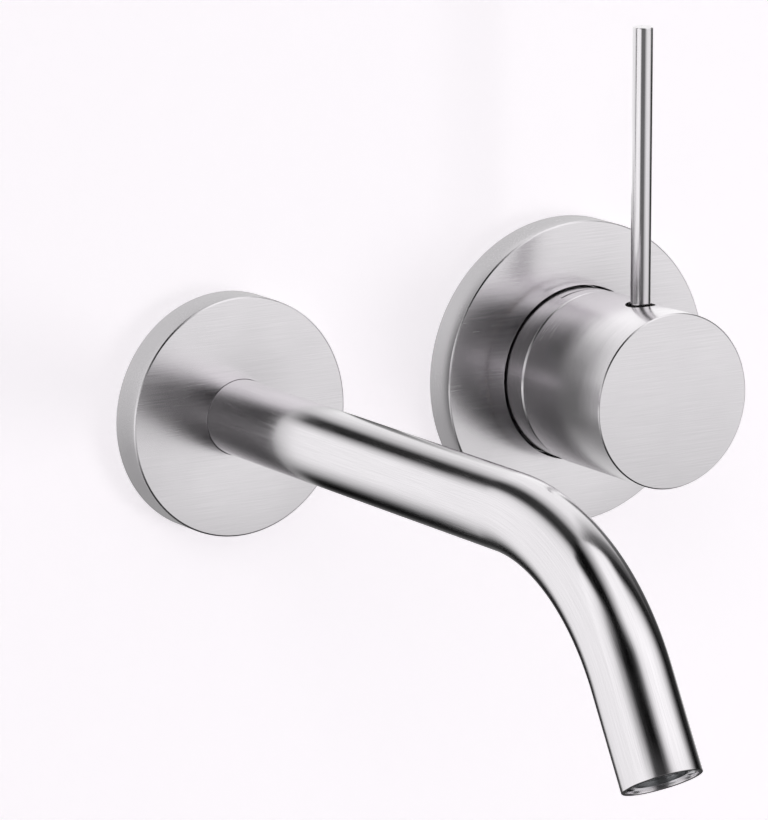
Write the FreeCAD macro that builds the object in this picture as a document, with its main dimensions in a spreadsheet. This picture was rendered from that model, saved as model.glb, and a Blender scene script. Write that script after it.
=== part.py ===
import FreeCAD, Part
import math
import os
import re
import Sketcher

# Wall-mounted basin mixer: a spout and a turning handle, each on a round rosette, over a concealed body.
# Millimetres. X runs to the right and Z up. Y runs into the wall: the finished wall is the plane Y = 0.
# The handle and cartridge share the axis X = 0, Z = 0. The spout's axis is one spacing to the left.

Vector = FreeCAD.Vector
document = FreeCAD.newDocument("basin_mixer")
sheet = document.addObject("Spreadsheet::Sheet", "Size")

SIZES = {
    # outside, as seen on the wall
    "axis_spacing": 100,
    "rosette_thickness": 9,
    "rosette_wall": 1.6,
    "rosette_edge": 0.5,
    "mixer_rosette_diameter": 78,
    "rosette_gap": 0.5,
    "spout_rosette_diameter": 60,
    "sleeve_diameter": 44,
    "sleeve_wall": 1.2,
    "sleeve_reach": 16.9,
    "sleeve_edge": 0.8,
    "sleeve_depth": 6,
    "sleeve_lip": 1.6,
    "sleeve_mouth": 36.5,
    "mark_back": 4.3,
    "mark_width": 0.7,
    "mark_depth": 0.25,
    "mark_angle": 40,
    # handle
    "handle_gap": 0.5,
    "handle_overhang": 0.3,
    "handle_length": 33.6,
    "handle_wall": 1.5,
    "handle_rim": 0.7,
    "handle_rim_depth": 1,
    "handle_front_wall": 5,
    "handle_edge": 0.3,
    "lever_diameter": 5.1,
    "lever_back": 14.5,
    "lever_top": 92.2,
    "lever_edge": 0.35,
    "lever_hole": 7.6,
    "lever_hole_edge": 0.4,
    "spigot_diameter": 4,
    "spigot_length": 6,
    "hub_diameter": 30,
    "hub_flange": 3,
    "hub_rear": 7,
    "hub_edge": 1,
    "hub_screw_room": 0.35,
    "hub_screw_count": 3,
    "hub_screw_diameter": 3,
    "hub_screw_head_height": 2,
    "hub_screw_bite": 3,
    "key_back": 23,
    "grub_diameter": 4,
    "grub_length": 8,
    "grub_key": 2,
    "grub_key_depth": 3,
    "plug_diameter": 4.4,
    "plug_thickness": 1.1,
    # stem and turret
    "stem_width": 8.8,
    "stem_room": 15,
    "stem_tail": 3,
    "pivot_reach": 5,
    "pin_diameter": 4,
    "pin_length": 22,
    "finger_diameter": 5,
    "ball_radius": 2.9,
    "ball_seat": 1,
    "turret_diameter": 24.3,
    "turret_flange_diameter": 30.8,
    "turret_flange_front": 4.2,
    "turret_rear": 2,
    "slot_above": 1,
    "slot_below": 4,
    # cartridge
    "cartridge_diameter": 35,
    "cartridge_shoulder": 6.5,
    "neck_diameter": 28,
    "neck_reach": 15,
    "nut_length": 6,
    "nut_diameter": 37.8,
    "nut_notch": 4,
    "limit_ring_diameter": 33,
    "limit_ring_width": 2.2,
    "disc_diameter": 24,
    "disc_rest_drop": 1.2,
    "moving_disc_thickness": 3.5,
    "fixed_disc_diameter": 30,
    "fixed_disc_thickness": 4,
    "cartridge_base_front": 14,
    "cartridge_base_thickness": 6,
    "port_side": 5.5,
    "port_height": 5,
    "port_diameter": 4,
    "port_past": 1,
    "cross_past": 3.5,
    "port_seal_diameter": 6.8,
    "port_seal_depth": 1,
    "cavity_width": 16,
    "cavity_bottom": 9,
    "cavity_top": 2.2,
    "cavity_depth": 2,
    # concealed brass body and its neighbours
    "sleeve_slip": 0.3,
    "barrel_setback": 1.8,
    "inlet_side": 16,
    "inlet_before_link": 2,
    "inlet_drop": 48,
    "inlet_rise": 11,
    "inlet_boss": 27,
    "inlet_thread_radius": 9.315,
    "inlet_thread_length": 15,
    "inlet_bore": 10,
    "filter_diameter": 13.8,
    "filter_thickness": 2,
    "filter_holes": 6,
    "filter_hole": 2.3,
    "filter_hole_circle": 6.9,
    "outlet_past": 7,
    "outlet_bore": 6,
    "link_depth": 29,
    "link_boss": 20,
    "link_boss_body": 36,
    "link_boss_elbow": 28,
    "link_diameter": 15,
    "link_bore": 12,
    "link_insert": 8,
    "link_past": 4,
    "nut_flats": 24,
    "link_nut_length": 16,
    "link_nut_grip": 6,
    "link_seal_width": 2,
    "elbow_diameter": 30,
    "elbow_front": 12,
    "nipple_thread_diameter": 18.5,
    "nipple_thread_length": 14,
    "nipple_hex_length": 6,
    "nipple_reach": 32,
    "nipple_bore": 10,
    "nipple_ring_first": 22,
    "nipple_ring_step": 5,
    "nipple_ring_width": 2.4,
    "ring_section": 1.4,
    "spout_screw_reach": 14,
    "spout_screw_diameter": 5,
    # spout
    "spout_diameter": 19,
    "spout_wall": 1.5,
    "spout_rear": 4,
    "spout_straight": 120,
    "spout_bend": 57.5,
    "spout_angle": 60,
    "spout_drop": 24,
    "outlet_counterbore": 17,
    "outlet_counterbore_depth": 10,
    "aerator_recess": 0.8,
    "aerator_length": 8,
    "aerator_wall": 1.2,
    "aerator_lip": 2.2,
    "aerator_keys": 6,
    "aerator_key_diameter": 1.6,
    "mesh_thickness": 0.5,
    "insert_holes": 8,
    "insert_hole": 1.6,
    "insert_hole_circle": 7.25,
    # bracket
    "bracket_room": 1,
    "bracket_thickness": 2.5,
    "bracket_half_height": 30,
    "bracket_margin": 6,
    "bracket_hole": 5.5,
    "bracket_hole_height": 24,
    "bracket_hole_right": 34,
    "bracket_hole_left": 24,
    "bracket_screw_diameter": 5,
    "bracket_screw_length": 10,
    "body_screw_side": 8,
    "body_screw_height": 13,
    "body_screw_drop": 14,
    "elbow_screw_height": 10.5,
    # small clearances, and how far a cutter runs past a face
    "cut_past": 1,
    "running_gap": 0.05,
    "loose_gap": 0.2,
    "gasket_thickness": 2,
    "gasket_width": 4,
    "collar_rear": 2.5,
    "collar_wall": 2.4,
    "groove_land": 1,
    "seal_section": 1.6,
}

for row, (alias, value) in enumerate(SIZES.items(), start=1):
    sheet.set("A%d" % row, str(value))
    sheet.setAlias("A%d" % row, alias)
document.recompute()


# Sizes that follow from others
DERIVED = {
    "handle_diameter": "sleeve_diameter + 2 * handle_overhang",
    "mixer_rosette_bore": "sleeve_diameter + 2 * rosette_gap",
    "spout_rosette_bore": "spout_diameter + 2 * loose_gap",
    "barrel_diameter": "sleeve_diameter - 2 * sleeve_wall - 2 * sleeve_slip",
    "barrel_reach": "sleeve_reach - sleeve_lip - barrel_setback",
    "nipple_spigot": "spout_diameter - 2 * spout_wall - 2 * loose_gap",
    "stem_front": "sleeve_reach + handle_gap + handle_length - handle_front_wall - stem_room",
    "ball_centre": "turret_rear + ball_seat",
    "hub_flange_radius": "handle_diameter / 2 - handle_wall - 2 * running_gap",
    "hub_screw_circle": "hub_diameter / 2 + hub_flange_radius",
    "hub_screw_head": "hub_flange_radius - hub_diameter / 2 - 2 * hub_screw_room",
    "outlet_depth": "link_depth + outlet_past",
    "inlet_depth": "link_depth - inlet_before_link",
    "bracket_front": "link_depth + nut_flats / 2 + bracket_room",
}


def size(words):
    """An expression in which each alias is read from the sheet, and each derived size is written out."""
    def meaning(found):
        name = found.group()
        if name in DERIVED:
            return "(%s)" % size(DERIVED[name])
        return "Size." + name if name in SIZES else name

    return re.sub(r"[A-Za-z_]\w*", meaning, words)


def value_of(words):
    return float(sheet.evalExpression(size(words)))


def bind(item, **properties):
    """Ties properties to expressions. An underscore pair in a name stands for a dot."""
    for name, words in properties.items():
        item.setExpression(name.replace("__", "."), size(words))
    return item


def place(item, x="0", y="0", z="0", turn=None):
    if turn:
        item.Placement.Rotation = turn
    return bind(item, Placement__Base__x=x, Placement__Base__y=y, Placement__Base__z=z)


INTO_WALL = FreeCAD.Rotation(Vector(1, 0, 0), -90)
TO_RIGHT = FreeCAD.Rotation(Vector(0, 1, 0), 90)
UPWARDS = FreeCAD.Rotation()
SPOUT_X = "-axis_spacing"


def rod(name, diameter, length, x="0", y="0", z="0", turn=INTO_WALL):
    """A plain cylinder, which starts at the given point and runs along its turn."""
    item = document.addObject("Part::Cylinder", name)
    bind(item, Radius="(%s) / 2" % diameter, Height=length)
    return place(item, x, y, z, turn)


def block(name, width, depth, height, x, y, z):
    item = document.addObject("Part::Box", name)
    bind(item, Length=width, Width=depth, Height=height)
    return place(item, x, y, z)


def hexagon(name, flats, length, x, y, z, turn):
    item = document.addObject("Part::Prism", name)
    item.Polygon = 6
    bind(item, Circumradius="(%s) / 2 / cos(30)" % flats, Height=length)
    return place(item, x, y, z, turn)


def round_ring(name, middle_radius, section, x="0", y="0"):
    item = document.addObject("Part::Torus", name)
    bind(item, Radius1=middle_radius, Radius2="(%s) / 2" % section)
    return place(item, x, y, "0", INTO_WALL)


def join(name, items):
    item = document.addObject("Part::MultiFuse", name)
    item.Shapes = items
    return item


def group(name, items):
    """Separate solids that share one node."""
    item = document.addObject("Part::Compound", name)
    item.Links = items
    return item


def cut(name, base, tools):
    item = document.addObject("Part::Cut", name)
    item.Base = base
    item.Tool = tools[0] if len(tools) == 1 else join(name + "_tools", tools)
    return item


def origin_plane(body, role):
    return [item for item in body.Origin.OriginFeatures if item.Role == role][0]


def turned(name, outline, x="0", y="0", upright=False):
    """A body of revolution about Y, or about Z if upright. The outline lists radius and place on the axis."""
    body = document.addObject("PartDesign::Body", name)
    sketch = body.newObject("Sketcher::SketchObject", name + "_outline")
    sketch.AttachmentSupport = (origin_plane(body, "XZ_Plane" if upright else "XY_Plane"), [""])
    sketch.MapMode = "FlatFace"
    corners = [Vector(value_of(radius), value_of(along), 0) for radius, along in outline]
    count = len(corners)
    for index in range(count):
        sketch.addGeometry(Part.LineSegment(corners[index], corners[(index + 1) % count]))
    for index in range(count):
        sketch.addConstraint(Sketcher.Constraint("Coincident", index, 2, (index + 1) % count, 1))
    for index, point in enumerate(outline):
        for words, kind, axis, start in zip(point, ("DistanceX", "DistanceY"), (-2, -1), corners[index]):
            if words == "0":
                sketch.addConstraint(Sketcher.Constraint("PointOnObject", index, 1, axis))
                continue
            number = sketch.addConstraint(Sketcher.Constraint(kind, -1, 1, index, 1, start))
            sketch.setExpression("Constraints[%d]" % number, size(words))
    revolution = body.newObject("PartDesign::Revolution", name + "_turn")
    revolution.Profile = sketch
    revolution.ReferenceAxis = (sketch, ["V_Axis"])
    revolution.Angle = 360
    return place(body, x, y)


def ring_outline(inner, outer, front, rear):
    return [(inner, front), (outer, front), (outer, rear), (inner, rear)]


PARTS = {}


def keep(name, item):
    """Gives a finished piece its label, and keeps it for the files."""
    item.Label = name
    PARTS[name] = item
    return item


# Rosettes, their seals and the sleeve
def rosette(name, diameter, bore, x):
    """A dished cover with a collar round its bore, a ring in the collar and a foam gasket behind the rim."""
    rim = "%s / 2" % diameter
    hole = "(%s) / 2" % bore
    front = "-rosette_thickness"
    inside = "-(rosette_thickness - rosette_wall)"
    groove_front = "-(collar_rear + groove_land + seal_section)"
    groove_rear = "-(collar_rear + groove_land)"
    cover = turned(name + "_shell", [
        (rim, "0"),
        (rim, front + " + rosette_edge"),
        (rim + " - rosette_edge", front),
        (hole + " + rosette_edge", front),
        (hole, front + " + rosette_edge"),
        (hole, groove_front),
        (hole + " + seal_section / 2 + loose_gap", groove_front),
        (hole + " + seal_section / 2 + loose_gap", groove_rear),
        (hole, groove_rear),
        (hole, "-collar_rear"),
        (hole + " + collar_wall", "-collar_rear"),
        (hole + " + collar_wall", inside),
        (rim + " - rosette_wall", inside),
        (rim + " - rosette_wall", "0"),
    ], x=x)
    keep(name, cover)
    gasket_edge = rim + " - rosette_wall - running_gap"
    gasket = turned(name + "_foam", ring_outline(gasket_edge + " - gasket_width", gasket_edge,
                                                 "-gasket_thickness", "0"), x=x)
    keep(name + "_gasket", gasket)


def rosette_ring(name, inner_radius, outer_radius, x):
    """A rubber ring between a rosette's groove and what the rosette slides on."""
    middle = "(%s + %s) / 2" % (inner_radius, outer_radius)
    section = "%s - %s - 2 * running_gap" % (outer_radius, inner_radius)
    keep(name, round_ring(name + "_rubber", middle, section, x,
                          "-(collar_rear + groove_land + seal_section / 2)"))


rosette("mixer_rosette", "mixer_rosette_diameter", "mixer_rosette_bore", "0")
rosette("spout_rosette", "spout_rosette_diameter", "spout_rosette_bore", SPOUT_X)
rosette_ring("mixer_rosette_o_ring", "(sleeve_diameter / 2)",
             "(mixer_rosette_bore / 2 + seal_section / 2 + loose_gap)", "0")
rosette_ring("spout_rosette_o_ring", "(spout_diameter / 2)",
             "(spout_rosette_bore / 2 + seal_section / 2 + loose_gap)", SPOUT_X)


def cover_sleeve():
    outer = "sleeve_diameter / 2"
    inner = outer + " - sleeve_wall"
    mouth = "sleeve_mouth / 2"
    front = "-sleeve_reach"
    shell = turned("sleeve_shell", [
        (outer, "sleeve_depth"),
        (outer, front + " + sleeve_edge"),
        (outer + " - sleeve_edge", front),
        (mouth, front),
        (mouth, front + " + sleeve_lip"),
        (inner, front + " + sleeve_lip"),
        (inner, "sleeve_depth"),
    ])
    mark_front = front + " + mark_back - mark_width / 2"
    top_start = FreeCAD.Rotation(Vector(0, 0, 1), -90 - value_of("mark_angle") / 2)
    outside = rod("mark_outside", "sleeve_diameter + 2 * cut_past", "mark_width", y=mark_front,
                  turn=INTO_WALL * top_start)
    bind(outside, Angle="mark_angle")
    core = rod("mark_core", "sleeve_diameter - 2 * mark_depth", "mark_width", y=mark_front)
    keep("cover_sleeve", cut("sleeve_marked", shell, [cut("mark_arc", outside, [core])]))


cover_sleeve()

# Handle: cap, hub, lever and what holds them together
CAP_REAR = "-(sleeve_reach + handle_gap)"
CAP_FRONT = "-(sleeve_reach + handle_gap + handle_length)"
CAP_FLOOR = "-(sleeve_reach + handle_gap + handle_length - handle_front_wall)"
LEVER_Y = "(-(sleeve_reach + handle_gap + handle_length) + lever_back)"
KEY_Y = "(-(sleeve_reach + handle_gap + handle_length) + key_back)"
HUB_REAR = "-(stem_front - hub_rear)"
FLANGE_REAR = CAP_FLOOR + " + hub_flange"


def handle_cap():
    outer = "handle_diameter / 2"
    inner = outer + " - handle_wall"
    shell = turned("cap_shell", [
        (outer, CAP_REAR),
        (outer, CAP_FRONT + " + handle_edge"),
        (outer + " - handle_edge", CAP_FRONT),
        ("0", CAP_FRONT),
        ("0", CAP_FLOOR),
        (inner, CAP_FLOOR),
        (inner, CAP_REAR + " - handle_rim_depth"),
        (outer + " - handle_rim", CAP_REAR),
    ])
    lever_way = rod("cap_lever_way", "lever_hole", "handle_diameter / 2", y=LEVER_Y, turn=UPWARDS)
    lever_edge = document.addObject("Part::Cone", "cap_lever_edge")
    bind(lever_edge, Radius1="lever_hole / 2", Radius2="lever_hole / 2 + 2 * lever_hole_edge",
         Height="2 * lever_hole_edge")
    place(lever_edge, y=LEVER_Y, z="handle_diameter / 2 - lever_hole_edge - lever_hole * lever_hole "
          "/ 4 / handle_diameter")
    key_way = rod("cap_key_way", "plug_diameter + 2 * running_gap", "handle_diameter / 2", y=KEY_Y,
                  z="-handle_diameter / 2 - cut_past", turn=UPWARDS)
    screw_ways = [
        rod("cap_screw_way_%d" % index, "hub_screw_diameter", "hub_screw_bite",
            x="hub_screw_circle / 2 * sin(%d)" % angle, y=CAP_FLOOR + " - hub_screw_bite",
            z="hub_screw_circle / 2 * cos(%d)" % angle)
        for index, angle in enumerate(hub_screw_angles())
    ]
    keep("handle_cap", cut("cap_cut", shell, [lever_way, lever_edge, key_way] + screw_ways))


def hub_screw_angles():
    count = int(value_of("hub_screw_count"))
    return [360 // count * index + 180 // count for index in range(count)]


def handle_hub():
    shell = turned("hub_shell", [
        ("0", CAP_FLOOR),
        ("hub_flange_radius", CAP_FLOOR),
        ("hub_flange_radius", FLANGE_REAR),
        ("hub_diameter / 2", FLANGE_REAR),
        ("hub_diameter / 2", HUB_REAR + " - hub_edge"),
        ("hub_diameter / 2 - hub_edge", HUB_REAR),
        ("0", HUB_REAR),
    ])
    socket = "stem_width + 3 * running_gap"
    ways = [
        block("hub_socket", socket, "hub_rear + cut_past + 2 * running_gap", socket, "-(%s) / 2" % socket,
              "-stem_front - 2 * running_gap", "-(%s) / 2" % socket),
        rod("hub_spigot_way", "spigot_diameter + 2 * running_gap", "hub_diameter / 2",
            y=LEVER_Y, z="hub_diameter / 2 - spigot_length - loose_gap", turn=UPWARDS),
        rod("hub_key_way", "grub_diameter + 2 * running_gap", "hub_diameter / 2", y=KEY_Y,
            z="-hub_diameter / 2 - cut_past", turn=UPWARDS),
    ]
    for index, angle in enumerate(hub_screw_angles()):
        ways.append(rod("hub_screw_way_%d" % index, "hub_screw_diameter + 2 * running_gap", "hub_flange",
                        x="hub_screw_circle / 2 * sin(%d)" % angle, y=CAP_FLOOR,
                        z="hub_screw_circle / 2 * cos(%d)" % angle))
    keep("handle_hub", cut("hub_cut", shell, ways))


def hub_screws():
    screws = []
    for index, angle in enumerate(hub_screw_angles()):
        across = "hub_screw_circle / 2 * sin(%d)" % angle
        up = "hub_screw_circle / 2 * cos(%d)" % angle
        shank = rod("hub_shank_%d" % index, "hub_screw_diameter - running_gap",
                    "hub_flange + hub_screw_bite - loose_gap", x=across,
                    y=CAP_FLOOR + " - hub_screw_bite + loose_gap", z=up)
        head = rod("hub_head_%d" % index, "hub_screw_head", "hub_screw_head_height", x=across,
                   y=FLANGE_REAR, z=up)
        socket = hexagon("hub_key_%d" % index, "hub_screw_diameter * 2 / 3", "hub_screw_head_height",
                         across, FLANGE_REAR + " + hub_screw_head_height / 2", up, INTO_WALL)
        blank = join("hub_screw_blank_%d" % index, [shank, head])
        screws.append(cut("hub_screw_%d" % index, blank, [socket]))
    keep("hub_screws", group("hub_screw_set", screws))


def lever_rod():
    seat = "hub_diameter / 2 + 2 * running_gap"
    keep("lever_rod", turned("lever_turned", [
        ("0", "hub_diameter / 2 - spigot_length"),
        ("spigot_diameter / 2", "hub_diameter / 2 - spigot_length"),
        ("spigot_diameter / 2", seat),
        ("lever_diameter / 2", seat),
        ("lever_diameter / 2", "lever_top - lever_edge"),
        ("lever_diameter / 2 - lever_edge", "lever_top"),
        ("0", "lever_top"),
    ], y=LEVER_Y, upright=True))


def stem():
    square = block("stem_square", "stem_width", "stem_front + stem_tail - pivot_reach", "stem_width",
                   "-stem_width / 2", "-stem_front", "-stem_width / 2")
    ball = document.addObject("Part::Sphere", "stem_ball")
    bind(ball, Radius="ball_radius")
    place(ball, y="ball_centre")
    finger = rod("stem_finger", "finger_diameter", "ball_centre + pivot_reach - stem_tail",
                 y="stem_tail - pivot_reach")
    pin_way = rod("stem_pin_way", "pin_diameter + 2 * running_gap", "stem_width + 2 * cut_past",
                  x="-stem_width / 2 - cut_past", y="-pivot_reach", turn=TO_RIGHT)
    keep("stem", cut("stem_cut", join("stem_blank", [square, finger, ball]), [pin_way]))


handle_cap()
handle_hub()
hub_screws()
lever_rod()
stem()

GRUB_TOP = "-(stem_width / 2 + running_gap)"
GRUB_BOTTOM = GRUB_TOP + " - grub_length"
keep("handle_grub_screw", cut(
    "grub_cut", rod("grub_blank", "grub_diameter", "grub_length", y=KEY_Y, z=GRUB_BOTTOM, turn=UPWARDS),
    [hexagon("grub_key", "grub_key", "grub_key_depth", "0", KEY_Y, GRUB_BOTTOM, UPWARDS)]))
keep("handle_plug", rod("plug_disc", "plug_diameter", "plug_thickness", y=KEY_Y,
                        z="-handle_diameter / 2 + loose_gap", turn=UPWARDS))


# Cartridge: turret, pin, discs, base and housing
def turret():
    blank = turned("turret_blank", [
        ("0", "-neck_reach"),
        ("turret_diameter / 2", "-neck_reach"),
        ("turret_diameter / 2", "-turret_flange_front"),
        ("turret_flange_diameter / 2", "-turret_flange_front"),
        ("turret_flange_diameter / 2", "turret_rear"),
        ("0", "turret_rear"),
    ])
    slot = block("turret_slot", "stem_width + 2 * loose_gap", "neck_reach + turret_rear + 2 * cut_past",
                 "stem_width + slot_above + slot_below", "-stem_width / 2 - loose_gap",
                 "-neck_reach - cut_past", "-stem_width / 2 - slot_below")
    pin_way = rod("turret_pin_way", "pin_diameter + running_gap", "turret_diameter + 2 * cut_past",
                  x="-turret_diameter / 2 - cut_past", y="-pivot_reach", turn=TO_RIGHT)
    keep("turret", cut("turret_cut", blank, [slot, pin_way]))


turret()
keep("stem_pin", rod("pin_rod", "pin_diameter", "pin_length", x="-pin_length / 2", y="-pivot_reach",
                     turn=TO_RIGHT))

CARRIER_FRONT = "turret_rear + loose_gap"
FIXED_FRONT = "(cartridge_base_front - fixed_disc_thickness - running_gap)"
MOVING_FRONT = FIXED_FRONT + " - moving_disc_thickness - running_gap"
PORTS = (("left", "-port_side", "port_height"), ("right", "port_side", "port_height"),
         ("lower", "0", "-port_height"))



def disc_carrier():
    blank = rod("carrier_blank", "disc_diameter", MOVING_FRONT + " - (%s)" % CARRIER_FRONT, y=CARRIER_FRONT,
                z="-disc_rest_drop")
    socket_depth = "ball_centre + ball_radius + loose_gap - (%s)" % CARRIER_FRONT
    socket = rod("carrier_socket", "2 * ball_radius + 2 * loose_gap", socket_depth, y=CARRIER_FRONT)
    keep("disc_carrier", cut("carrier_cut", blank, [socket]))


def moving_ceramic_disc():
    blank = rod("moving_disc_blank", "disc_diameter", "moving_disc_thickness", y=MOVING_FRONT,
                z="-disc_rest_drop")
    cavity_front = MOVING_FRONT + " + moving_disc_thickness - cavity_depth"
    cavity = block("moving_disc_cavity", "cavity_width", "cavity_depth + cut_past",
                   "cavity_top + cavity_bottom", "-cavity_width / 2", cavity_front, "-cavity_bottom")
    keep("moving_ceramic_disc", cut("moving_disc_cut", blank, [cavity]))


disc_carrier()
moving_ceramic_disc()


def port_ways(name, diameter, length, start):
    return [rod("%s_%s" % (name, side), diameter, length, x=across, y=start, z=up)
            for side, across, up in PORTS]


def port_seals(name, start, length):
    """Three small rubber rings, one round each port."""
    outer = port_ways(name + "_outer", "port_seal_diameter", length, start)
    inner = port_ways(name + "_inner", "port_diameter + 2 * loose_gap", length, start)
    rings = [cut("%s_ring_%d" % (name, index), blank, [hole])
             for index, (blank, hole) in enumerate(zip(outer, inner))]
    keep(name, group(name + "_set", rings))


BASE_REAR = "cartridge_base_front + cartridge_base_thickness"
SEAT = BASE_REAR + " + loose_gap"


def fixed_ceramic_disc():
    blank = rod("fixed_disc_blank", "fixed_disc_diameter", "fixed_disc_thickness", y=FIXED_FRONT)
    ports = port_ways("fixed_disc_port", "port_diameter", "fixed_disc_thickness", FIXED_FRONT)
    keep("fixed_ceramic_disc", cut("fixed_disc_cut", blank, ports))


def cartridge_base():
    blank = rod("base_blank", "cartridge_diameter", "cartridge_base_thickness", y="cartridge_base_front")
    seat = "port_seal_diameter + 2 * running_gap"
    ways = port_ways("base_port", "port_diameter", "cartridge_base_thickness", "cartridge_base_front")
    ways += port_ways("base_front_seat", seat, "port_seal_depth", "cartridge_base_front")
    ways += port_ways("base_rear_seat", seat, "port_seal_depth", BASE_REAR + " - port_seal_depth")
    keep("cartridge_base", cut("base_cut", blank, ways))


fixed_ceramic_disc()
cartridge_base()
port_seals("disc_seals", "cartridge_base_front - running_gap", "port_seal_depth + running_gap")
port_seals("cartridge_base_seals", BASE_REAR + " - port_seal_depth", "port_seal_depth + loose_gap")

keep("cartridge_housing", turned("housing_turned", [
    ("cartridge_diameter / 2", "cartridge_base_front"),
    ("cartridge_diameter / 2", "-cartridge_shoulder"),
    ("neck_diameter / 2", "-cartridge_shoulder"),
    ("neck_diameter / 2", "-neck_reach"),
    ("turret_diameter / 2 + running_gap", "-neck_reach"),
    ("turret_diameter / 2 + running_gap", "-turret_flange_front - running_gap"),
    ("turret_flange_diameter / 2 + 2 * running_gap", "-turret_flange_front - running_gap"),
    ("turret_flange_diameter / 2 + 2 * running_gap", "cartridge_base_front"),
]))


def cartridge_nut():
    front = "-cartridge_shoulder - nut_length"
    ring = turned("nut_ring", ring_outline("neck_diameter / 2 + loose_gap", "nut_diameter / 2",
                                           front, "-cartridge_shoulder"))
    notches = [
        block("nut_notch_across", "nut_diameter + 2 * cut_past", "nut_length / 3", "nut_notch",
              "-nut_diameter / 2 - cut_past", front, "-nut_notch / 2"),
        block("nut_notch_upright", "nut_notch", "nut_length / 3", "nut_diameter + 2 * cut_past",
              "-nut_notch / 2", front, "-nut_diameter / 2 - cut_past"),
    ]
    keep("cartridge_nut", cut("nut_cut", ring, notches))


cartridge_nut()
LIMIT_FRONT = "-cartridge_shoulder - nut_length - limit_ring_width"
keep("temperature_limit_ring", turned("limit_ring", ring_outline(
    "neck_diameter / 2 + running_gap", "limit_ring_diameter / 2", LIMIT_FRONT,
    LIMIT_FRONT + " + limit_ring_width")))


# Concealed brass body
def mixer_body():
    barrel = rod("barrel", "barrel_diameter", "barrel_reach + bracket_front", y="-barrel_reach")
    link_boss = rod("body_link_boss", "link_boss", "link_boss_body", x="-link_boss_body", y="link_depth",
                    turn=TO_RIGHT)
    solids = [barrel, link_boss]
    ways = [
        rod("cartridge_bore", "cartridge_diameter + 2 * running_gap", "cartridge_shoulder + (%s)" % SEAT,
            y="-cartridge_shoulder"),
        rod("nut_bore", "nut_diameter + 2 * running_gap", "barrel_reach - cartridge_shoulder + cut_past",
            y="-barrel_reach - cut_past"),
        rod("outlet_port", "port_diameter", "outlet_depth - (%s) + port_past" % SEAT, y=SEAT,
            z="-port_height"),
        rod("outlet_way", "outlet_bore", "link_boss_body - link_insert + port_diameter",
            x="-link_boss_body + link_insert", y="outlet_depth", z="-port_height", turn=TO_RIGHT),
        rod("body_link_way", "link_bore", "link_insert + link_past", x="-link_boss_body", y="link_depth",
            turn=TO_RIGHT),
        rod("body_link_seat", "link_diameter + 2 * running_gap", "link_insert + running_gap",
            x="-link_boss_body", y="link_depth", turn=TO_RIGHT),
    ]
    for side, sign in (("left", "-"), ("right", "")):
        across = sign + "inlet_side"
        solids.append(rod("inlet_boss_" + side, "inlet_boss", "inlet_drop + inlet_rise", x=across,
                          y="inlet_depth", z="-inlet_drop", turn=UPWARDS))
        ways.append(rod("inlet_thread_" + side, "2 * inlet_thread_radius", "inlet_thread_length", x=across,
                        y="inlet_depth", z="-inlet_drop", turn=UPWARDS))
        ways.append(rod("inlet_filter_seat_" + side, "filter_diameter + 2 * running_gap", "filter_thickness",
                        x=across, y="inlet_depth", z="-inlet_drop + inlet_thread_length", turn=UPWARDS))
        ways.append(rod("inlet_way_" + side, "inlet_bore", "inlet_drop + port_height + port_diameter",
                        x=across, y="inlet_depth", z="-inlet_drop", turn=UPWARDS))
        cross_start = "-inlet_side" if sign else "port_side - cross_past"
        ways.append(rod("inlet_cross_" + side, "port_diameter + port_past",
                        "inlet_side - port_side + cross_past", x=cross_start, y="inlet_depth",
                        z="port_height", turn=TO_RIGHT))
        ways.append(rod("inlet_port_" + side, "port_diameter", "inlet_depth - (%s) + port_past" % SEAT,
                        x=sign + "port_side", y=SEAT, z="port_height"))
    ways += screw_ways("body_screw_way", BODY_SCREWS)
    keep("mixer_body", cut("body_cut", join("body_blank", solids), ways))


BODY_SCREWS = (("-body_screw_side", "body_screw_height"), ("body_screw_side", "body_screw_height"),
               ("0", "-body_screw_drop"))
ELBOW_SCREWS = ((SPOUT_X, "elbow_screw_height"), (SPOUT_X, "-elbow_screw_height"))


def screw_ways(name, places):
    """Blind holes for the bracket screws, drilled from the bracket's side."""
    return [rod("%s_%d" % (name, index), "bracket_screw_diameter + 2 * running_gap",
                "bracket_screw_length - bracket_thickness + cut_past", x=across,
                y="bracket_front - bracket_screw_length + bracket_thickness - cut_past", z=up)
            for index, (across, up) in enumerate(places)]


mixer_body()


def inlet_filters():
    discs = []
    count = int(value_of("filter_holes"))
    for side, across in (("left", "-inlet_side"), ("right", "inlet_side")):
        disc = rod("filter_disc_" + side, "filter_diameter", "filter_thickness", x=across, y="inlet_depth",
                   z="-inlet_drop + inlet_thread_length", turn=UPWARDS)
        holes = [rod("filter_hole_%s_%d" % (side, index), "filter_hole", "filter_thickness",
                     x=across + " + filter_hole_circle / 2 * sin(%d)" % (360 // count * index),
                     y="inlet_depth + filter_hole_circle / 2 * cos(%d)" % (360 // count * index),
                     z="-inlet_drop + inlet_thread_length", turn=UPWARDS) for index in range(count)]
        discs.append(cut("filter_" + side, disc, holes))
    keep("inlet_filters", group("filter_pair", discs))


inlet_filters()

# Link from the body to the spout's elbow
LINK_LEFT = "(-axis_spacing + link_boss_elbow)"
keep("link_pipe", cut("link_pipe_cut", rod(
    "link_pipe_blank", "link_diameter", "axis_spacing - link_boss_elbow - link_boss_body + 2 * link_insert",
    x=LINK_LEFT + " - link_insert", y="link_depth", turn=TO_RIGHT), [rod(
        "link_pipe_way", "link_bore", "axis_spacing", x="-axis_spacing", y="link_depth", turn=TO_RIGHT)]))


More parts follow.
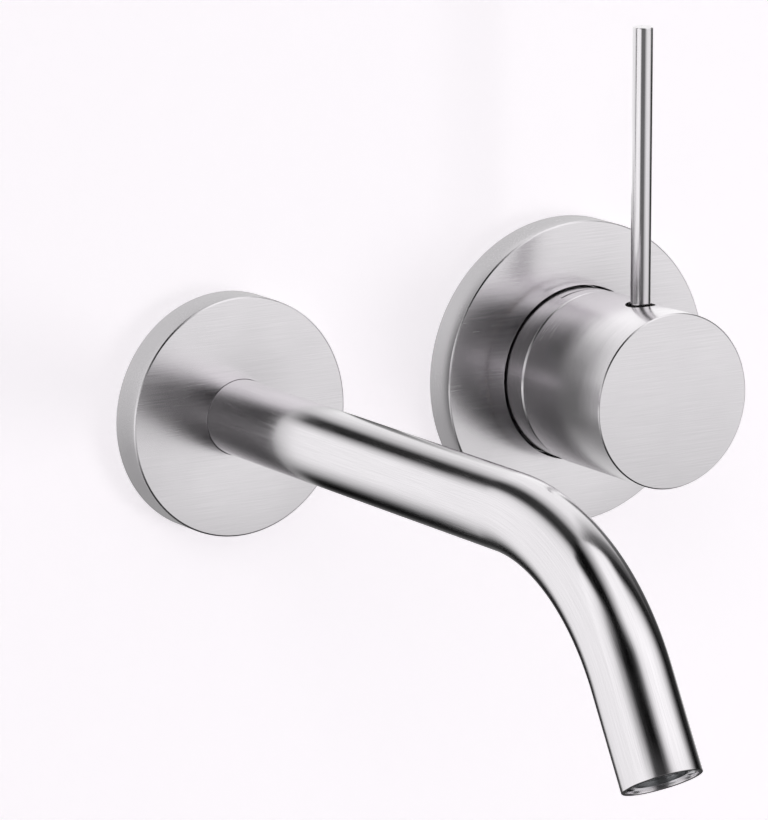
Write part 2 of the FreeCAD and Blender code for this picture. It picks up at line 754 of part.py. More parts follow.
def link_nut(name, end, faces_right):
    """A hexagon nut over the boss, with its shoulder on the seal. The end is where the boss stops."""
    if faces_right:
        grip_start = end
        start = end + " - link_nut_length + link_nut_grip"
        seal_start = end + " - link_seal_width - running_gap"
    else:
        grip_start = end + " - link_nut_grip"
        start = grip_start
        seal_start = end + " + running_gap"
    blank = hexagon(name + "_blank", "nut_flats", "link_nut_length", start, "link_depth", "0", TO_RIGHT)
    thread = rod(name + "_thread", "link_boss + 2 * running_gap", "link_nut_grip", x=grip_start,
                 y="link_depth", turn=TO_RIGHT)
    seal_room = rod(name + "_seal_room", "link_boss + 2 * running_gap", "link_seal_width + 2 * running_gap",
                    x=seal_start + " - running_gap", y="link_depth", turn=TO_RIGHT)
    way = rod(name + "_way", "link_diameter + 2 * running_gap", "link_nut_length", x=start, y="link_depth",
              turn=TO_RIGHT)
    keep(name, cut(name + "_cut", blank, [thread, seal_room, way]))
    seal = rod(name + "_seal_blank", "link_boss - running_gap", "link_seal_width", x=seal_start,
               y="link_depth", turn=TO_RIGHT)
    hole = rod(name + "_seal_hole", "link_diameter + 2 * running_gap", "link_seal_width", x=seal_start,
               y="link_depth", turn=TO_RIGHT)
    return cut(name + "_seal", seal, [hole])


keep("link_seals", group("link_seal_pair", [
    link_nut("link_nut_body", "-link_boss_body", True),
    link_nut("link_nut_elbow", LINK_LEFT, False),
]))


def spout_elbow():
    solids = [
        rod("elbow_barrel", "elbow_diameter", "bracket_front - elbow_front", x=SPOUT_X, y="elbow_front"),
        rod("elbow_link_boss", "link_boss", "link_boss_elbow", x=SPOUT_X, y="link_depth", turn=TO_RIGHT),
    ]
    ways = [
        rod("elbow_thread", "nipple_thread_diameter + 2 * running_gap", "nipple_thread_length + running_gap",
            x=SPOUT_X, y="elbow_front"),
        rod("elbow_way", "link_bore", "link_depth + link_bore / 2 - elbow_front", x=SPOUT_X, y="elbow_front"),
        rod("elbow_link_way", "link_bore", "link_boss_elbow", x=SPOUT_X, y="link_depth", turn=TO_RIGHT),
        rod("elbow_link_seat", "link_diameter + 2 * running_gap", "link_insert + running_gap",
            x=LINK_LEFT + " - link_insert - running_gap", y="link_depth", turn=TO_RIGHT),
    ]
    ways += screw_ways("elbow_screw_way", ELBOW_SCREWS)
    keep("spout_elbow", cut("elbow_cut", join("elbow_blank", solids), ways))


spout_elbow()


# Nipple, its rings and the screw that holds the spout on it
def spout_nipple():
    radius = "nipple_spigot / 2"
    floor = radius + " + loose_gap - 2 * running_gap - ring_section"
    outline = [("nipple_bore / 2", "elbow_front + nipple_thread_length"),
               ("nipple_thread_diameter / 2", "elbow_front + nipple_thread_length"),
               ("nipple_thread_diameter / 2", "elbow_front - nipple_hex_length"),
               (radius, "elbow_front - nipple_hex_length")]
    grooves = [("spout_screw_reach", "spout_screw_diameter", radius + " - loose_gap * 4"),
               ("nipple_ring_first", "nipple_ring_width", floor),
               ("(nipple_ring_first + nipple_ring_step)", "nipple_ring_width", floor)]
    for middle, width, bottom in grooves:
        near = "-%s + %s / 2" % (middle, width)
        far = "-%s - %s / 2" % (middle, width)
        outline += [(radius, near), (bottom, near), (bottom, far), (radius, far)]
    outline += [(radius, "-nipple_reach"), ("nipple_bore / 2", "-nipple_reach")]
    tube = turned("nipple_turned", outline, x=SPOUT_X)
    flats = hexagon("nipple_flats", "nut_flats", "nipple_hex_length", SPOUT_X,
                    "elbow_front - nipple_hex_length", "0", INTO_WALL)
    way = rod("nipple_way", "nipple_bore", "nipple_hex_length", x=SPOUT_X,
              y="elbow_front - nipple_hex_length")
    keep("spout_nipple", join("nipple_joined", [tube, cut("nipple_hexagon", flats, [way])]))


spout_nipple()
RING_MIDDLE = "nipple_spigot / 2 + loose_gap - running_gap - ring_section / 2"
keep("nipple_o_rings", group("nipple_ring_pair", [
    round_ring("nipple_ring_near", RING_MIDDLE, "ring_section", SPOUT_X, "-nipple_ring_first"),
    round_ring("nipple_ring_far", RING_MIDDLE, "ring_section", SPOUT_X,
               "-nipple_ring_first - nipple_ring_step"),
]))
SCREW_TOP = "-(nipple_spigot / 2 - loose_gap * 3)"
keep("spout_grub_screw", cut("spout_screw_cut", rod(
    "spout_screw_blank", "spout_screw_diameter - 2 * running_gap",
    "(%s) + spout_diameter / 2 - loose_gap" % SCREW_TOP, x=SPOUT_X, y="-spout_screw_reach",
    z="-spout_diameter / 2 + loose_gap", turn=UPWARDS), [
    hexagon("spout_screw_key", "spout_screw_diameter / 2", "spout_wall", SPOUT_X, "-spout_screw_reach",
            "-spout_diameter / 2", UPWARDS)]))

# Spout tube: a straight run, one bend and a short straight end, swept from a ring
BEND_START = "-(rosette_thickness + spout_straight)"
OUTLET_Y = "(%s - spout_bend * sin(spout_angle) - spout_drop * cos(spout_angle))" % BEND_START
OUTLET_Z = "(-spout_bend * (1 - cos(spout_angle)) - spout_drop * sin(spout_angle))"


def at_outlet(item, back, across="0", up="0"):
    """Stands an item's own Z along the water's way out, a given distance back from the outlet."""
    place(item, "%s + %s" % (SPOUT_X, across),
          "%s + (%s) * cos(spout_angle) + (%s) * sin(spout_angle)" % (OUTLET_Y, back, up),
          "%s + (%s) * sin(spout_angle) - (%s) * cos(spout_angle)" % (OUTLET_Z, back, up))
    item.Placement.Rotation = FreeCAD.Rotation(Vector(1, 0, 0), 90 + value_of("spout_angle"))
    return bind(item, Placement__Rotation__Angle="90 + spout_angle")


def outlet_rod(name, diameter, length, back, across="0", up="0"):
    item = document.addObject("Part::Cylinder", name)
    bind(item, Radius="(%s) / 2" % diameter, Height=length)
    return at_outlet(item, back, across, up)


def spout_path(body):
    """The tube's centre line: sketch X runs into the wall and sketch Y runs up."""
    path = body.newObject("Sketcher::SketchObject", "spout_path")
    path.AttachmentSupport = (origin_plane(body, "YZ_Plane"), [""])
    path.MapMode = "FlatFace"
    rear = value_of("spout_rear")
    bend = value_of(BEND_START)
    radius = value_of("spout_bend")
    angle = math.radians(value_of("spout_angle"))
    circle = Part.Circle(Vector(bend, -radius, 0), Vector(0, 0, 1), radius)
    arc = Part.ArcOfCircle(circle, math.pi / 2, math.pi / 2 + angle)
    outlet = Vector(value_of(OUTLET_Y), value_of(OUTLET_Z), 0)
    path.addGeometry(Part.LineSegment(Vector(rear, 0, 0), Vector(bend, 0, 0)))
    path.addGeometry(arc)
    path.addGeometry(Part.LineSegment(arc.EndPoint, outlet))
    path.addConstraint(Sketcher.Constraint("PointOnObject", 0, 1, -1))
    path.addConstraint(Sketcher.Constraint("Horizontal", 0))
    path.addConstraint(Sketcher.Constraint("Tangent", 0, 2, 1, 1))
    path.addConstraint(Sketcher.Constraint("Tangent", 1, 2, 2, 1))
    lengths = [
        (Sketcher.Constraint("DistanceX", -1, 1, 0, 1, rear), "spout_rear"),
        (Sketcher.Constraint("DistanceX", -1, 1, 0, 2, bend), BEND_START),
        (Sketcher.Constraint("Radius", 1, radius), "spout_bend"),
        (Sketcher.Constraint("DistanceX", -1, 1, 2, 2, outlet.x), OUTLET_Y),
        (Sketcher.Constraint("Distance", 2, value_of("spout_drop")), "spout_drop"),
    ]
    for constraint, words in lengths:
        number = path.addConstraint(constraint)
        path.setExpression("Constraints[%d]" % number, size(words))
    return path


def spout_tube():
    body = document.addObject("PartDesign::Body", "spout_sweep")
    path = spout_path(body)
    section = body.newObject("Sketcher::SketchObject", "spout_section")
    section.AttachmentSupport = (origin_plane(body, "XZ_Plane"), [""])
    section.MapMode = "FlatFace"
    bind(section, AttachmentOffset__Base__z="-spout_rear")
    for index, words in enumerate(("spout_diameter / 2", "spout_diameter / 2 - spout_wall")):
        section.addGeometry(Part.Circle(Vector(0, 0, 0), Vector(0, 0, 1), value_of(words)))
        section.addConstraint(Sketcher.Constraint("Coincident", index, 3, -1, 1))
        number = section.addConstraint(Sketcher.Constraint("Radius", index, value_of(words)))
        section.setExpression("Constraints[%d]" % number, size(words))
    document.recompute()
    pipe = body.newObject("PartDesign::AdditivePipe", "spout_pipe")
    pipe.Profile = section
    pipe.Spine = (path, ["Edge1", "Edge2", "Edge3"])
    place(body, SPOUT_X)
    ways = [
        outlet_rod("outlet_room", "outlet_counterbore", "outlet_counterbore_depth + cut_past",
                   "outlet_counterbore_depth"),
        rod("spout_screw_way", "spout_screw_diameter", "spout_diameter / 2", x=SPOUT_X,
            y="-spout_screw_reach", z="-spout_diameter / 2 - cut_past", turn=UPWARDS),
    ]
    keep("spout_tube", cut("spout_cut", body, ways))


spout_tube()


def aerator():
    """A threaded sleeve with key notches, a flow insert behind a fine mesh, and a seal at its back."""
    outer = "(outlet_counterbore - 2 * running_gap)"
    inner = "(%s - 2 * aerator_wall)" % outer
    back = "aerator_recess + aerator_length"
    blank = outlet_rod("aerator_blank", outer, "aerator_length", back)
    ways = [
        outlet_rod("aerator_room", inner, "aerator_length - aerator_wall", back),
        outlet_rod("aerator_mouth", inner + " - aerator_lip", "aerator_length + cut_past", back),
    ]
    count = int(value_of("aerator_keys"))
    for index in range(count):
        angle = 360 // count * index
        ways.append(outlet_rod(
            "aerator_key_%d" % index, "aerator_key_diameter", "aerator_key_diameter",
            "aerator_recess + aerator_key_diameter / 2",
            across="(%s - aerator_wall) / 2 * cos(%d)" % (outer, angle),
            up="(%s - aerator_wall) / 2 * sin(%d)" % (outer, angle)))
    keep("aerator_housing", cut("aerator_cut", blank, ways))
    room_front = "aerator_recess + aerator_wall + running_gap"
    mesh = outlet_rod("mesh_disc", inner + " - 2 * running_gap", "mesh_thickness",
                      room_front + " + mesh_thickness")
    keep("aerator_mesh", mesh)
    insert_length = "(aerator_length - aerator_wall - mesh_thickness - 4 * running_gap)"
    insert = outlet_rod("insert_blank", inner + " - 2 * running_gap", insert_length,
                        room_front + " + mesh_thickness + running_gap + " + insert_length)
    holes = []
    count = int(value_of("insert_holes"))
    for index in range(count):
        angle = 360 // count * index
        holes.append(outlet_rod("insert_hole_%d" % index, "insert_hole", "aerator_length + 2 * cut_past",
                                back, across="insert_hole_circle / 2 * cos(%d)" % angle,
                                up="insert_hole_circle / 2 * sin(%d)" % angle))
    keep("aerator_insert", cut("insert_cut", insert, holes))
    seal_length = "(outlet_counterbore_depth - aerator_recess - aerator_length - 2 * running_gap)"
    seal = outlet_rod("aerator_seal_blank", "outlet_counterbore - 2 * running_gap", seal_length,
                      "outlet_counterbore_depth - running_gap")
    hole = outlet_rod("aerator_seal_hole", inner + " - aerator_lip", seal_length + " + cut_past",
                      "outlet_counterbore_depth - running_gap")
    keep("aerator_seal", cut("aerator_seal_cut", seal, [hole]))


aerator()


# Bracket behind everything, with its screws
def wall_bracket():
    width = "axis_spacing + bracket_hole_left + bracket_hole_right + 2 * bracket_margin"
    plate = block("bracket_plate", width, "bracket_thickness", "2 * bracket_half_height",
                  "-axis_spacing - bracket_hole_left - bracket_margin", "bracket_front",
                  "-bracket_half_height")
    ways = []
    for side, across in (("left", "-axis_spacing - bracket_hole_left"), ("right", "bracket_hole_right")):
        for level, up in (("upper", "bracket_hole_height"), ("lower", "-bracket_hole_height")):
            ways.append(rod("bracket_hole_%s_%s" % (side, level), "bracket_hole", "bracket_thickness",
                            x=across, y="bracket_front", z=up))
    screws = []
    for index, (across, up) in enumerate((*BODY_SCREWS, *ELBOW_SCREWS)):
        ways.append(countersunk("bracket_way_%d" % index, "2 * running_gap", across, up))
        screws.append(countersunk("bracket_screw_%d" % index, "0", across, up))
    keep("wall_bracket", cut("bracket_cut", plate, ways))
    keep("bracket_screws", group("bracket_screw_set", screws))


def countersunk(name, extra, across, up):
    """A countersunk screw, flush with the bracket's back, or the room for one where extra is a clearance."""
    back = "bracket_front + bracket_thickness"
    shank = rod(name + "_shank", "bracket_screw_diameter + %s" % extra, "bracket_screw_length", x=across,
                y=back + " - bracket_screw_length", z=up)
    head = document.addObject("Part::Cone", name + "_head")
    bind(head, Radius1="(bracket_screw_diameter + %s) / 2" % extra,
         Radius2="(bracket_screw_diameter + %s) / 2 + bracket_thickness" % extra, Height="bracket_thickness")
    place(head, across, "bracket_front", up, INTO_WALL)
    return join(name, [shank, head])


wall_bracket()

# Every object is checked before any file is written
document.recompute()
for item in document.Objects:
    if "Invalid" in item.State or "Error" in item.State:
        raise RuntimeError("failed object: %s" % item.Name)
for name, item in PARTS.items():
    if item.Shape.isNull() or not item.Shape.isValid() or not item.Shape.Solids:
        raise RuntimeError("bad shape: %s" % name)

os.makedirs("parts", exist_ok=True)
for name, item in PARTS.items():
    item.Shape.exportStep("parts/%s.step" % name)
    print("%-26s %2d solids %10.1f mm3" % (name, len(item.Shape.Solids), item.Shape.Volume))
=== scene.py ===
import math

import bmesh
import bpy
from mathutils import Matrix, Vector


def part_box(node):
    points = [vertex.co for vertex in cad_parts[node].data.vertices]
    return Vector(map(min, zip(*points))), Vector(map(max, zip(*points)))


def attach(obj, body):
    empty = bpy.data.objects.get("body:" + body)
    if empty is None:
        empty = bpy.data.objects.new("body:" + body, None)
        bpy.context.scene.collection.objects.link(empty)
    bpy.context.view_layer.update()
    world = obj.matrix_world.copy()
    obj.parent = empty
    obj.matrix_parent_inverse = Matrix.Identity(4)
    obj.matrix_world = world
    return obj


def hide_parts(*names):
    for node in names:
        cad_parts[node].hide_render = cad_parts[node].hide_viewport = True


# A wall-mounted basin mixer in satin nickel: a bent spout and a lever handle, each on a round rosette.
# Metres. X runs right, Y runs into the wall and Z up. The finished wall is the plane Y = 0.

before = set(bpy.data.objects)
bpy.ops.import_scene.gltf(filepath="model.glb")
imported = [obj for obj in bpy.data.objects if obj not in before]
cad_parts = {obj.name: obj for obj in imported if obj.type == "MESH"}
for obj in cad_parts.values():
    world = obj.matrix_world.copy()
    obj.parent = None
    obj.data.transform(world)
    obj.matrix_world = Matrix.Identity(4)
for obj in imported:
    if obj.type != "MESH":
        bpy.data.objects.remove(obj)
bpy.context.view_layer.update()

MM = 0.001
ROUND = 192               # facets round a turned piece
HOLE_ROUND = 96           # facets round a drilled hole
CORNER_STEPS = 4          # facets over a rounded corner
SIDE_SHARE = 0.45         # the most of a short side that a rounded corner takes up
SMOOTH_ANGLE = math.radians(28)
ON_AXIS = 1e-9            # an outline's point nearer to its axis than this lies on it
WELD = 1e-7               # points of a turned piece that are nearer than this are joined


# Colours and materials
def colour(code):
    """An sRGB hex value as linear red, green, blue and alpha."""
    parts = [int(code[index:index + 2], 16) / 255 for index in (0, 2, 4)]
    linear = [part / 12.92 if part <= 0.04045 else ((part + 0.055) / 1.055) ** 2.4 for part in parts]
    return (*linear, 1.0)


def add(tree, kind, inputs=None, **settings):
    """Adds a node. An input given as a socket is linked, and one given as a node is linked to that node's first
    output that is in use. Any other value is set on the input itself."""
    node = tree.nodes.new(kind)
    for name, value in settings.items():
        setattr(node, name, value)
    for name, value in (inputs or {}).items():
        if isinstance(value, bpy.types.Node):
            value = next(output for output in value.outputs if output.enabled)
        if isinstance(value, bpy.types.NodeSocket):
            tree.links.new(value, node.inputs[name])
        else:
            node.inputs[name].default_value = value
    return node


def new_material(name):
    material = bpy.data.materials.new(name)
    material.use_nodes = True
    material.node_tree.nodes.clear()
    return material, material.node_tree


def close(material, tree, inputs):
    """Ends a material in one principled shader."""
    shader = add(tree, "ShaderNodeBsdfPrincipled", inputs)
    add(tree, "ShaderNodeOutputMaterial", {"Surface": shader})
    return material


def between(tree, first, second, measure, start, end, most=1.0):
    """Goes from the first colour to the second, or most of the way, as a measure goes from start to end."""
    share = add(tree, "ShaderNodeMapRange", {
        "Value": measure, "From Min": start, "From Max": end, "To Min": 0.0, "To Max": most})
    return add(tree, "ShaderNodeMix", {"Factor": share, "A": first, "B": second}, data_type="RGBA")


NOISE_LOW, NOISE_HIGH = 0.3, 0.7      # nearly all of a noise's values lie between these
TONE_LOW, TONE_HIGH = 0.35, 0.65      # a little closer, for more contrast
NICKEL_DULL, NICKEL_BRIGHT = "E0DDE0", "E9E6E9"
LINE_POLISH = 0.03        # how far a brush line's roughness is from the mean, either way
PATCH_POLISH = 0.02       # the same for a patch of lines
STAIN_POLISH = (-0.05, 0.07)          # how far stains take a metal's roughness from the mean, down and up
BLOOM_POLISH = 0.05       # how far bloom takes a moulded skin's roughness from the mean, either way
PATCHES = 90.0            # per metre, so 11 mm wide
STAINS = 60.0             # per metre, so 17 mm wide
BLOOM = 120.0             # per metre, so 8 mm wide


def satin_nickel(name, grain, uv, roughness, bump):
    """Nickel plate, brushed with a fine belt before plating. The grain is in lines per metre on each axis.
    The real lines are 0.05 mm apart, and are drawn 0.25 mm apart so that they show."""
    material, tree = new_material(name)
    coordinates = add(tree, "ShaderNodeTexCoord")
    stretch = add(tree, "ShaderNodeMapping", {
        "Vector": coordinates.outputs["UV" if uv else "Object"], "Scale": grain})
    lines = add(tree, "ShaderNodeTexNoise", {
        "Vector": stretch, "Scale": 1.0, "Detail": 3.0, "Roughness": 0.6})
    patches = add(tree, "ShaderNodeTexNoise", {
        "Vector": coordinates.outputs["Object"], "Scale": PATCHES, "Detail": 2.0})
    by_line = add(tree, "ShaderNodeMapRange", {
        "Value": lines, "From Min": NOISE_LOW, "From Max": NOISE_HIGH,
        "To Min": -LINE_POLISH, "To Max": LINE_POLISH})
    by_patch = add(tree, "ShaderNodeMapRange", {
        "Value": patches, "From Min": NOISE_LOW, "From Max": NOISE_HIGH,
        "To Min": roughness - PATCH_POLISH, "To Max": roughness + PATCH_POLISH})
    return close(material, tree, {
        "Base Color": between(tree, colour(NICKEL_DULL), colour(NICKEL_BRIGHT), lines, TONE_LOW, TONE_HIGH),
        "Metallic": 1.0,
        "Roughness": add(tree, "ShaderNodeMath", {0: by_line, 1: by_patch}, operation="ADD"),
        "Normal": add(tree, "ShaderNodeBump", {"Height": lines, "Strength": bump, "Distance": 0.1 * MM})})


def cast_metal(name, light, dark, roughness, grit):
    """Cast, turned or plated metal: an even satin with faint stains, and a grain of the given size."""
    material, tree = new_material(name)
    coordinates = add(tree, "ShaderNodeTexCoord").outputs["Object"]
    stains = add(tree, "ShaderNodeTexNoise", {"Vector": coordinates, "Scale": STAINS, "Detail": 4.0})
    grain = add(tree, "ShaderNodeTexNoise", {"Vector": coordinates, "Scale": 1 / grit, "Detail": 2.0})
    return close(material, tree, {
        "Base Color": between(tree, colour(dark), colour(light), stains, TONE_LOW, TONE_HIGH),
        "Metallic": 1.0,
        "Roughness": add(tree, "ShaderNodeMapRange", {
            "Value": stains, "From Min": NOISE_LOW, "From Max": NOISE_HIGH,
            "To Min": roughness + STAIN_POLISH[0], "To Max": roughness + STAIN_POLISH[1]}),
        "Normal": add(tree, "ShaderNodeBump", {"Height": grain, "Strength": 0.25, "Distance": grit / 4})})


def moulded(name, light, dark, roughness, grit=0.3 * MM, ior=1.5):
    """Moulded plastic or rubber, ceramic or foam: a skin with a faint orange peel of the given size."""
    material, tree = new_material(name)
    coordinates = add(tree, "ShaderNodeTexCoord").outputs["Object"]
    peel = add(tree, "ShaderNodeTexNoise", {"Vector": coordinates, "Scale": 1 / grit, "Detail": 2.0})
    bloom = add(tree, "ShaderNodeTexNoise", {"Vector": coordinates, "Scale": BLOOM, "Detail": 3.0})
    return close(material, tree, {
        "Base Color": between(tree, colour(dark), colour(light), bloom, NOISE_LOW, NOISE_HIGH),
        "IOR": ior,
        "Roughness": add(tree, "ShaderNodeMapRange", {
            "Value": bloom, "From Min": NOISE_LOW, "From Max": NOISE_HIGH,
            "To Min": roughness - BLOOM_POLISH, "To Max": roughness + BLOOM_POLISH}),
        "Normal": add(tree, "ShaderNodeBump", {"Height": peel, "Strength": 0.15, "Distance": grit / 5})})


WIRE_PITCH = 0.5 * MM
WAVE_PITCH = math.tau / 20            # how far apart a wave texture's bands are at scale 1
WIRE_LOW, WIRE_HIGH = 0.4, 0.9        # a wire's side lies between these heights of the weave


def woven_mesh(name):
    """Wire cloth, drawn at its real spacing as two crossed sets of ridges, with painted shade down the wires'
    sides and in the holes.
    """
    material, tree = new_material(name)
    coordinates = add(tree, "ShaderNodeTexCoord").outputs["Object"]
    ridges = [add(tree, "ShaderNodeTexWave", {"Vector": coordinates, "Scale": WAVE_PITCH / WIRE_PITCH},
                  bands_direction=direction) for direction in ("X", "Z")]
    weave = add(tree, "ShaderNodeMath", {index: wave.outputs["Fac"] for index, wave in enumerate(ridges)},
                operation="MAXIMUM")
    return close(material, tree, {
        # Grey on the wires' tops, darker down their sides and near black in the holes between them: painted
        # shade.
        "Base Color": between(tree, colour("1C1D1E"), colour("B9BABB"), weave, WIRE_LOW, WIRE_HIGH),
        "Metallic": 0.9, "Roughness": 0.35,
        "Normal": add(tree, "ShaderNodeBump", {
            "Height": weave, "Strength": 0.6, "Distance": WIRE_PITCH / 3})})


LINES = 1 / (0.25 * MM)   # brush lines per metre
BREAKS = 60.0             # changes per metre along a line, so 17 mm apart
ALONG = (LINES, BREAKS, LINES)        # lines that run with the second coordinate, such as along the spout
ACROSS = (BREAKS, LINES, LINES)       # lines that run with the first coordinate, level across a face

# Nickel brushed along the tube and the lever: bands of light and dark with soft sides, and faint long streaks.
NICKEL_ALONG = satin_nickel("satin_nickel_brushed_along", ALONG, uv=True, roughness=0.15, bump=0.02)
# Nickel brushed level on the flat faces: an even silver grey with faint level lines.
NICKEL_LEVEL = satin_nickel("satin_nickel_brushed_level", ACROSS, uv=False, roughness=0.24, bump=0.012)
# Nickel brushed round the sleeve and the cap: wide, soft changes from light to dark.
NICKEL_ROUND = satin_nickel("satin_nickel_brushed_round", ACROSS, uv=True, roughness=0.23, bump=0.014)

# In the rest, the colours are the lightest and the darkest, the next number is the roughness, and a size is
# that of the grain. A casting's grain is as wide as its sand. Turning lines and plating are finer than 0.1 mm
# in truth, and are drawn at 0.1 to 0.5 mm so that they show. A moulded skin is drawn at 0.3 mm, and foam's
# cells at their real size.
# Sand-cast brass: a warm yellow with a dull and gritty skin.
RAW_BRASS = cast_metal("raw_brass_cast", "C9A667", "A8824A", 0.38, 0.4 * MM)
# Turned brass: paler and brighter than the casting, with a finer grain.
TURNED_BRASS = cast_metal("raw_brass_turned", "D8B878", "C29C5A", 0.25, 0.2 * MM)
# Turned stainless steel: a neutral grey with a soft shine.
STAINLESS = cast_metal("stainless_steel_turned", "C4C5C6", "A9AAAC", 0.26, 0.2 * MM)
# Zinc-plated sheet steel: a bluish grey, a little cloudy.
ZINC = cast_metal("zinc_plated_sheet", "C8CCD0", "A4AAB0", 0.34, 0.5 * MM)
# Moulded plastic filled with glass: nearly black, with a wide weak shine.
BLACK_PLASTIC = moulded("glass_filled_plastic_black", "2A2C2E", "1E2022", 0.5)
# Moulded acetal: a milky off-white that looks waxy.
ACETAL = moulded("acetal_off_white", "E4E1D8", "D6D2C6", 0.42)
# Lapped alumina: nearly white, with a small clear highlight like that of glazed china.
CERAMIC = moulded("alumina_ceramic_lapped", "F3F1E9", "E9E6DC", 0.18, ior=1.76)
# Moulded nitrile rubber: black and dull.
RUBBER = moulded("nitrile_rubber_black", "1B1B1C", "111112", 0.62, ior=1.52)
# Closed-cell foam cut from a sheet: dark grey with no shine, and the coarsest skin.
FOAM = moulded("closed_cell_foam_grey", "38393B", "28292B", 0.9, grit=0.8 * MM)
# Chrome plate: a cool and nearly clear mirror.
AERATOR_CHROME = cast_metal("aerator_chrome_plated", "D8D9DB", "B4B5B8", 0.14, 0.2 * MM)
# The floor of an engraved line: a flat mid grey, darker than the plate round it, which is painted shade in the
# groove.
GROOVE_PAINTED_SHADE = cast_metal("engraved_line_painted_shade", "7E7C7D", "6C6A6B", 0.5, 0.1 * MM)
# Stainless wire cloth: grey wires, with painted shade down their sides and in the holes between them.
WIRE_CLOTH = woven_mesh("stainless_wire_cloth")


# Turned and swept pieces
def mesh_piece(name, vertices, faces, uvs, material, body, replaced):
    """A smooth piece that rides on a body in place of a CAD node. Its texture coordinates are in metres."""
    mesh = bpy.data.meshes.new(name)
    mesh.from_pydata(vertices, [], faces)
    layer = mesh.uv_layers.new(name="surface")
    for polygon in mesh.polygons:
        for corner, uv in zip(polygon.loop_indices, uvs[polygon.index]):
            layer.data[corner].uv = uv
    work = bmesh.new()
    work.from_mesh(mesh)
    bmesh.ops.recalc_face_normals(work, faces=work.faces)
    work.to_mesh(mesh)
    work.free()
    mesh.shade_smooth()
    mesh.set_sharp_from_angle(angle=SMOOTH_ANGLE)
    mesh.materials.append(material)
    piece = bpy.data.objects.new(name, mesh)
    bpy.context.collection.objects.link(piece)
    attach(piece, body)
    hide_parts(replaced)
    return piece


def rounded(outline, radius):
    """A closed outline with each corner rounded off by an arc of the given radius, or less on a short side."""
    made = []
    count = len(outline)
    for index, corner in enumerate(outline):
        corner = Vector(corner)
        before = Vector(outline[index - 1]) - corner
        after = Vector(outline[(index + 1) % count]) - corner
        if corner.x < ON_AXIS:
            made.append(corner)
            continue
        half = before.angle(after) / 2
        reach = min(radius / math.tan(half), before.length * SIDE_SHARE, after.length * SIDE_SHARE)
        start = corner + before.normalized() * reach
        end = corner + after.normalized() * reach
        for step in range(CORNER_STEPS + 1):
            share = step / CORNER_STEPS
            made.append(start.lerp(corner, share).lerp(corner.lerp(end, share), share))
    return made


def turned(name, outline, material, body, replaced, x=0.0, y=0.0, upright=False, recess=None):
    """Turns a closed outline of radius and height about Y, or about Z if upright.
    The recess is a function of radius, height and angle, which gives how far the surface is cut back there."""
    vertices = []
    faces = []
    uvs = []
    count = len(outline)
    lengths = [0.0]
    for index in range(count):
        lengths.append(lengths[-1] + (outline[(index + 1) % count] - outline[index]).length)
    largest = max(point.x for point in outline)
    for turn in range(ROUND):
        angle = math.tau * turn / ROUND
        for point in outline:
            radius = point.x - (recess(point.x, point.y, angle) if recess else 0.0)
            across, up = radius * math.sin(angle), radius * math.cos(angle)
            vertices.append((x + across, y + up, point.y) if upright else (x + across, y + point.y, up))
    for turn in range(ROUND):
        following = (turn + 1) % ROUND
        near, far = largest * math.tau * turn / ROUND, largest * math.tau * (turn + 1) / ROUND
        for index in range(count):
            beyond = (index + 1) % count
            if outline[index].x < ON_AXIS and outline[beyond].x < ON_AXIS:
                continue
            faces.append([turn * count + index, turn * count + beyond, following * count + beyond,
                          following * count + index])
            uvs.append([(near, lengths[index]), (near, lengths[index + 1]), (far, lengths[index + 1]),
                        (far, lengths[index])])
    piece = mesh_piece(name, vertices, faces, uvs, material, body, replaced)
    work = bmesh.new()
    work.from_mesh(piece.data)
    bmesh.ops.remove_doubles(work, verts=work.verts, dist=WELD)
    work.to_mesh(piece.data)
    work.free()
    return piece


def drilled(piece, centre, axis, radius, length):
    """Cuts a round hole through a piece. The hole starts at the centre and runs along the axis."""
    middle = Vector(centre) + Vector(axis) * length / 2
    bpy.ops.mesh.primitive_cylinder_add(vertices=HOLE_ROUND, radius=radius, depth=length, location=middle,
                                        rotation=Vector(axis).to_track_quat("Z", "Y").to_euler())
    cutter = bpy.context.object
    modifier = piece.modifiers.new("hole", "BOOLEAN")
    modifier.object = cutter
    modifier.solver = "EXACT"
    graph = bpy.context.evaluated_depsgraph_get()
    cut = bpy.data.meshes.new_from_object(piece.evaluated_get(graph), depsgraph=graph)
    piece.modifiers.clear()
    piece.data = cut
    bpy.data.objects.remove(cutter, do_unlink=True)
    cut.shade_smooth()
    cut.set_sharp_from_angle(angle=SMOOTH_ANGLE)


def extent(node):
    """The lowest and the highest corner of a CAD node's box."""
    low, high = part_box(node)
    return Vector(low), Vector(high)


# Rosettes
ROSETTE_WALL = 1.6 * MM
ROSETTE_EDGE = 0.35 * MM
COLLAR_WALL = 2.4 * MM
COLLAR_REAR = 2.5 * MM
SLEEVE_GAP = 0.5 * MM
SPOUT_GAP = 0.05 * MM
THIN_ROUND = 0.12 * MM    # the rosettes' and the sleeve's corners


def rosette(name, bore):
    """A round plate with a rim back to the wall, and a collar round its bore."""
    low, high = extent(name)
    rim = (high.x - low.x) / 2
    front = low.y
    inside = front + ROSETTE_WALL
    outline = [(rim, 0.0), (rim, front + ROSETTE_EDGE), (rim - ROSETTE_EDGE, front), (bore, front),
               (bore, -COLLAR_REAR), (bore + COLLAR_WALL, -COLLAR_REAR),
               (bore + COLLAR_WALL, inside), (rim - ROSETTE_WALL, inside), (rim - ROSETTE_WALL, 0.0)]
    turned(name + "_plated", rounded(outline, THIN_ROUND), NICKEL_LEVEL, "fixed", name,
           x=(low.x + high.x) / 2)


sleeve_low, sleeve_high = extent("cover_sleeve")
SLEEVE_RADIUS = sleeve_high.x
tube_low, tube_high = extent("spout_tube")
SPOUT_X = (tube_low.x + tube_high.x) / 2
TUBE_RADIUS = (tube_high.x - tube_low.x) / 2
rosette("mixer_rosette", SLEEVE_RADIUS + SLEEVE_GAP)
rosette("spout_rosette", TUBE_RADIUS + SPOUT_GAP)

